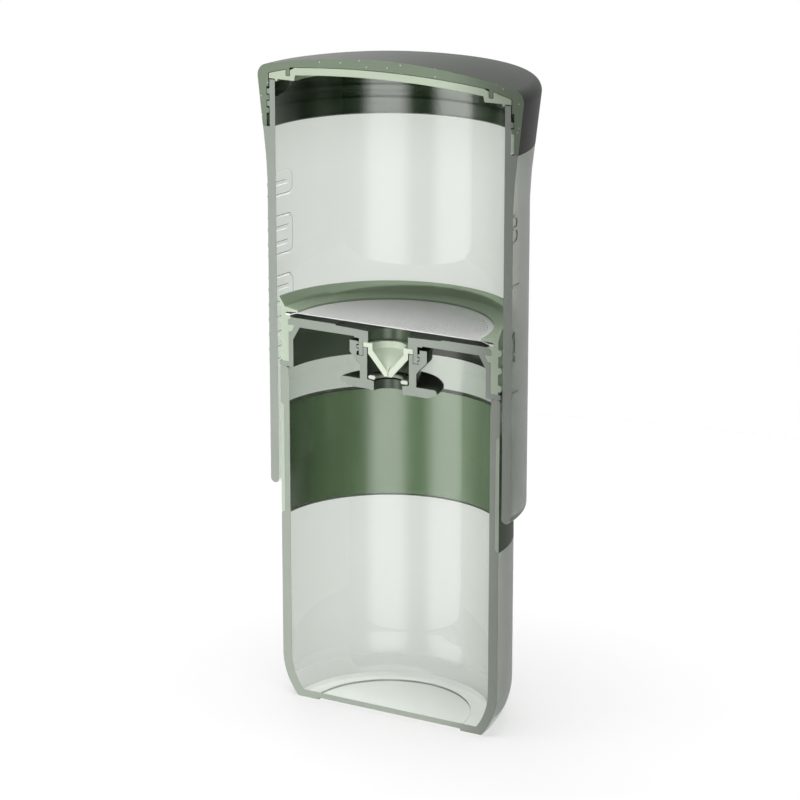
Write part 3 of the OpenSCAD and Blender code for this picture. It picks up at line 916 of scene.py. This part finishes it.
MARK_INPUTS = (
    ("Radius", "Float", CHAMBER_R), ("Rise", "Float", MARK_RISE), ("Sunk", "Float", MARK_SUNK),
    ("Start", "Float", 0.0), ("Height", "Float", 0.1), ("Length", "Float", 0.004),
    ("Width", "Float", FRAME_WIDTH), ("Flank", "Float", MARK_FLANK), ("Steps", "Int", 16),
    ("Finish", "Material", None),
)
RELIEF_EDGE = math.radians(15)
SAME_SURFACE = 1e-5
SAME_WAY = 0.999

chamber_clear = clear_plastic(
    "chamber_clear", smoke=CHAMBER_SMOKE, cut=CHAMBER_CUT, cut_deep=CHAMBER_CUT_DEEP, polish=POLISH,
    satin_from=CHAMBER_SATIN_R, satin_below=SHOULDER_Z, ior=CLEAR_IOR,
)
thread_clear = clear_plastic(
    "thread_clear", smoke=CHAMBER_SMOKE, cut=CHAMBER_CUT, cut_deep=CHAMBER_CUT_DEEP, polish=NECK_POLISH,
    satin_from=CHAMBER_SATIN_R, satin_below=SHOULDER_Z, ior=NECK_IOR,
)
neck_thread = thread(
    NECK_RIDGES, radius=NECK_R + NECK_STANDOFF, pitch=NECK_PITCH, depth=NECK_RIDGE_DEPTH,
    root=NECK_RIDGE_ROOT, crest=NECK_RIDGE_CREST, finish=thread_clear,
)
piece_of("neck_thread", neck_thread, "chamber")


def wrapped(tree, geometry, given, run, level, height):
    """Lays flat geometry round the tube: run along the turn from the start, level out, height up."""
    angle = calc(tree, "ADD", given["Start"], calc(tree, "DIVIDE", run, given["Radius"]))
    middle = calc(tree, "MULTIPLY", calc(tree, "SUBTRACT", given["Rise"], given["Sunk"]), 0.5)
    out = calc(tree, "ADD", given["Radius"], calc(tree, "ADD", level, middle))
    x = calc(tree, "MULTIPLY", out, calc(tree, "COSINE", angle))
    y = calc(tree, "MULTIPLY", out, calc(tree, "SINE", angle))
    wrap = tree.nodes.new("GeometryNodeSetPosition")
    tree.links.new(geometry, wrap.inputs["Geometry"])
    tree.links.new(point_of(tree, x, y, height), wrap.inputs["Position"])
    return wrap.outputs["Geometry"]


def tick_row_tree():
    """A column of raised bars with sloping sides on a tube, from the lowest up."""
    tree = bpy.data.node_groups.new("tick_row", "GeometryNodeTree")
    given, output = add_inputs(tree, MARK_INPUTS + (
        ("Count", "Int", 1), ("Step", "Float", 0.004),
    ))
    line = tree.nodes.new("GeometryNodeMeshLine")
    tree.links.new(given["Count"], line.inputs["Count"])
    tree.links.new(point_of(tree, 0.0, 0.0, given["Height"]), line.inputs["Start Location"])
    tree.links.new(point_of(tree, 0.0, 0.0, given["Step"]), line.inputs["Offset"])
    bar = tree.nodes.new("GeometryNodeMeshCube")
    tree.links.new(given["Steps"], bar.inputs["Vertices X"])
    thick = calc(tree, "ADD", given["Rise"], given["Sunk"])
    tree.links.new(point_of(tree, given["Length"], thick, given["Width"]), bar.inputs["Size"])
    axes = point_axes(tree)
    proud = calc(tree, "GREATER_THAN", axes["Y"], 0.0)
    lean = calc(tree, "MULTIPLY", proud, calc(tree, "MULTIPLY", given["Flank"], -2.0))
    end_lean = calc(tree, "MULTIPLY", lean, calc(tree, "DIVIDE", axes["X"], given["Length"]))
    side_lean = calc(tree, "MULTIPLY", lean, calc(tree, "DIVIDE", axes["Z"], given["Width"]))
    taper = tree.nodes.new("GeometryNodeSetPosition")
    tree.links.new(bar.outputs["Mesh"], taper.inputs["Geometry"])
    tree.links.new(point_of(tree, end_lean, 0.0, side_lean), taper.inputs["Offset"])
    spread = tree.nodes.new("GeometryNodeInstanceOnPoints")
    tree.links.new(line.outputs["Mesh"], spread.inputs["Points"])
    tree.links.new(taper.outputs["Geometry"], spread.inputs["Instance"])
    real = tree.nodes.new("GeometryNodeRealizeInstances")
    tree.links.new(spread.outputs["Instances"], real.inputs["Geometry"])
    run = calc(tree, "MULTIPLY_ADD", given["Length"], 0.5, axes["X"])
    marks = wrapped(tree, real.outputs["Geometry"], given, run, axes["Y"], axes["Z"])
    finish_tree(tree, marks, output, given["Finish"])
    return tree


def raised_line(tree, given, curve):
    """A flat curve swept to a raised line with sloping sides and laid round the tube."""
    upright = tree.nodes.new("GeometryNodeSetCurveNormal")
    upright.mode = "Z_UP"
    tree.links.new(curve, upright.inputs["Curve"])
    strip = tree.nodes.new("GeometryNodeCurvePrimitiveQuadrilateral")
    strip.mode = "POINTS"
    level = calc(tree, "MULTIPLY", calc(tree, "ADD", given["Rise"], given["Sunk"]), 0.5)
    depth = calc(tree, "MULTIPLY", level, -1.0)
    root = calc(tree, "MULTIPLY", given["Width"], 0.5)
    crest = calc(tree, "SUBTRACT", root, given["Flank"])
    corners = ((root, level, 1.0), (crest, depth, 1.0), (crest, depth, -1.0), (root, level, -1.0))
    for number, (half_width, out, side) in enumerate(corners, 1):
        across = calc(tree, "MULTIPLY", half_width, side)
        tree.links.new(point_of(tree, across, out, 0.0), strip.inputs[f"Point {number}"])
    swept = tree.nodes.new("GeometryNodeCurveToMesh")
    swept.inputs["Fill Caps"].default_value = True
    tree.links.new(upright.outputs["Curve"], swept.inputs["Curve"])
    tree.links.new(strip.outputs["Curve"], swept.inputs["Profile Curve"])
    axes = point_axes(tree)
    up = calc(tree, "ADD", axes["Y"], given["Height"])
    return wrapped(tree, swept.outputs["Mesh"], given, axes["X"], axes["Z"], up)


def ring_line_tree():
    """A raised line round a field, a rectangle with round corners laid on a tube."""
    tree = bpy.data.node_groups.new("ring_line", "GeometryNodeTree")
    given, output = add_inputs(tree, MARK_INPUTS + (("Tall", "Float", 0.01), ("Corner", "Float", 0.002)))
    field = tree.nodes.new("GeometryNodeCurvePrimitiveQuadrilateral")
    tree.links.new(given["Length"], field.inputs["Width"])
    tree.links.new(given["Tall"], field.inputs["Height"])
    corners = tree.nodes.new("GeometryNodeFilletCurve")
    corners.mode = "POLY"
    corners.inputs["Count"].default_value = 8
    tree.links.new(field.outputs["Curve"], corners.inputs["Curve"])
    tree.links.new(given["Corner"], corners.inputs["Radius"])
    even = tree.nodes.new("GeometryNodeResampleCurve")
    tree.links.new(corners.outputs["Curve"], even.inputs["Curve"])
    tree.links.new(given["Steps"], even.inputs["Count"])
    finish_tree(tree, raised_line(tree, given, even.outputs["Curve"]), output, given["Finish"])
    return tree


def stroke_tree():
    """A straight raised stroke of a number, from its start by a run round the tube and a lift."""
    tree = bpy.data.node_groups.new("stroke", "GeometryNodeTree")
    given, output = add_inputs(tree, MARK_INPUTS + (("Lift", "Float", 0.0),))
    line = tree.nodes.new("GeometryNodeCurvePrimitiveLine")
    tree.links.new(point_of(tree, given["Length"], given["Lift"], 0.0), line.inputs["End"])
    even = tree.nodes.new("GeometryNodeResampleCurve")
    tree.links.new(line.outputs["Curve"], even.inputs["Curve"])
    tree.links.new(given["Steps"], even.inputs["Count"])
    finish_tree(tree, raised_line(tree, given, even.outputs["Curve"]), output, given["Finish"])
    return tree


def with_relief(mesh, relief):
    """One solid of a mesh and the relief on it; what is left of the old surface keeps its shading."""
    whole = boolean(joined([mesh]), relief, "UNION")
    whole.polygons.foreach_set("use_smooth", [True] * len(whole.polygons))
    whole.set_sharp_from_angle(angle=RELIEF_EDGE)
    mesh.calc_loop_triangles()
    old_faces = mesh.loop_triangles
    old_points = [v.co.copy() for v in mesh.vertices]
    old_normals = [n.vector.copy() for n in mesh.corner_normals]
    surface = BVHTree.FromPolygons(old_points, [f.vertices[:] for f in old_faces])
    normals = [n.vector.copy() for n in whole.corner_normals]
    for face in whole.polygons:
        _, way, index, gap = surface.find_nearest(face.center)
        if gap < SAME_SURFACE and way.dot(face.normal) > SAME_WAY:
            old = old_faces[index]
            corners = [old_points[i] for i in old.vertices]
            shading = [old_normals[i] for i in old.loops]
            for loop in face.loop_indices:
                point = whole.vertices[whole.loops[loop].vertex_index].co
                normals[loop] = barycentric_transform(point, *corners, *shading).normalized()
    whole.normals_split_custom_set(normals)
    return whole


tick_row = tick_row_tree()
ring_line = ring_line_tree()
stroke = stroke_tree()
scale_marks = [
    grow(
        tick_row, count=count, step=LEFT_STEP, height=height, start=math.pi - LEFT_ARC,
        length=(LEFT_ARC + OVER_CUT) * CHAMBER_R, width=LEFT_WIDTH, finish=chamber_clear,
    )
    for height, count in LEFT_TICKS
]
scale_marks += [
    grow(
        ring_line, height=height, tall=tall, start=math.pi, length=2 * FRAME_ARC * CHAMBER_R,
        width=FRAME_WIDTH, steps=FRAME_STEPS, finish=chamber_clear,
    )
    for height, tall in FRAMES
]
scale_marks += [
    grow(
        tick_row, height=height, start=-OVER_CUT, length=(OVER_CUT + RIGHT_ARC) * CHAMBER_R,
        rise=NUMBER_RISE, width=NUMBER_WIDTH, finish=chamber_clear,
    )
    for height in RIGHT_TICKS
]
scale_marks += [
    grow(
        ring_line, height=height, tall=tall, start=EIGHT_MIDDLE / CHAMBER_R, length=wide, corner=corner,
        rise=NUMBER_RISE, width=NUMBER_WIDTH, steps=EIGHT_STEPS, finish=chamber_clear,
    )
    for height, tall, wide, corner in EIGHT_RINGS
]
scale_marks += [
    grow(
        stroke, height=height, start=begin / CHAMBER_R, length=run, lift=lift,
        rise=NUMBER_RISE, width=NUMBER_WIDTH, finish=chamber_clear,
    )
    for begin, height, run, lift in FOUR_STROKES
]
tube = nodes["chamber"].data.copy()
tube.materials.clear()
tube.materials.append(chamber_clear)
chamber_body = bpy.data.objects.new("chamber_body", with_relief(tube, sawn(scale_marks)))
scene.collection.objects.link(chamber_body)
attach(chamber_body, "chamber")
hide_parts("chamber")


# Cap liner
# A light green silicone disc lies under the cap. Its thick outer ring seals on the neck's rim, and
# the cap's ring rib is pressed into its top.
liner_green = satin_piece(
    "liner_green", skin=(158, 176, 148), skin_deep=(144, 163, 134), cut=(193, 206, 184),
    cut_deep=(180, 195, 170), roughness=(0.4, 0.55), grain_scale=2200, grain_depth=0.00002,
)
dress("cap_liner", liner_green)


# Cap
# The screw cap is moulded in dark grey-green plastic with a fine satin grain. A few pale glass beads
# of the filled plastic show where it is cut, and its thread takes hold under the neck's ridges.
CAP_THREAD_R = 0.0382
CAP_LINING_R = CAP_THREAD_R + 0.0001
CAP_ROOF = 0.1775
CAP_RIDGES = ((0.1709, -OVER_CUT), (0.16735, math.radians(38)))
CAP_RIDGE_DEPTH = 0.00085
CAP_RIDGE_ROOT = 0.0015
CAP_RIDGE_CREST = 0.0012
CAP_SPECULAR = 0.3
CAP_COAT_IOR = 1.8
BEAD_PALE = (196, 210, 190)
BEAD_SCALE = 480
BEAD_SIZE = 0.085
BEAD_RARE = 0.72


def cap_finish():
    """The satin cap plastic, glossier inside the skirt and painted darker there as painted shade, with
    pale beads where it is cut.
    """
    finish = satin_piece(
        "cap_grey", skin=(48, 53, 45), skin_deep=(41, 46, 38), cut=(126, 140, 120),
        cut_deep=(116, 130, 110), roughness=(0.42, 0.54), grain_scale=3200, grain_depth=0.00001,
    )
    # Inside the skirt the cap is painted darker and greener than its skin: painted shade.
    gloss_and_painted_shading_inside(
        finish, radius=CAP_LINING_R, top=CAP_ROOF, painted_shading=(40, 56, 33), painted_shading_deep=(35, 49, 28)
    )
    tree = finish.node_tree
    sockets = tree.nodes["Principled BSDF"].inputs
    place = place_on(tree)
    axes = axes_of(tree, place)
    cells = tree.nodes.new("ShaderNodeTexVoronoi")
    cells.voronoi_dimensions = "2D"
    feed(tree, cells.inputs["Scale"], BEAD_SCALE)
    feed(tree, cells.inputs["Vector"], point_of(tree, axes["X"], axes["Z"], 0.0))
    chance = tree.nodes.new("ShaderNodeSeparateColor")
    tree.links.new(cells.outputs["Color"], chance.inputs["Color"])
    near = calc(tree, "LESS_THAN", cells.outputs["Distance"], BEAD_SIZE)
    rare = calc(tree, "GREATER_THAN", chance.outputs["Red"], BEAD_RARE)
    bead = calc(tree, "MULTIPLY", calc(tree, "MULTIPLY", near, rare), cut_mask(tree, place))
    base = sockets["Base Color"].links[0].from_socket
    feed(tree, sockets["Base Color"], mix_colour(tree, bead, base, shade(*BEAD_PALE)))
    feed(tree, sockets["Specular IOR Level"], CAP_SPECULAR)
    feed(tree, sockets["Coat IOR"], CAP_COAT_IOR)
    return finish


cap_grey = cap_finish()
dress("cap", cap_grey)
cap_thread = thread(
    CAP_RIDGES, radius=CAP_THREAD_R + RIDGE_SUNK, pitch=NECK_PITCH, depth=-CAP_RIDGE_DEPTH - RIDGE_SUNK,
    root=CAP_RIDGE_ROOT, crest=CAP_RIDGE_CREST, finish=cap_grey,
)
piece_of("cap_thread", cap_thread, "cap")
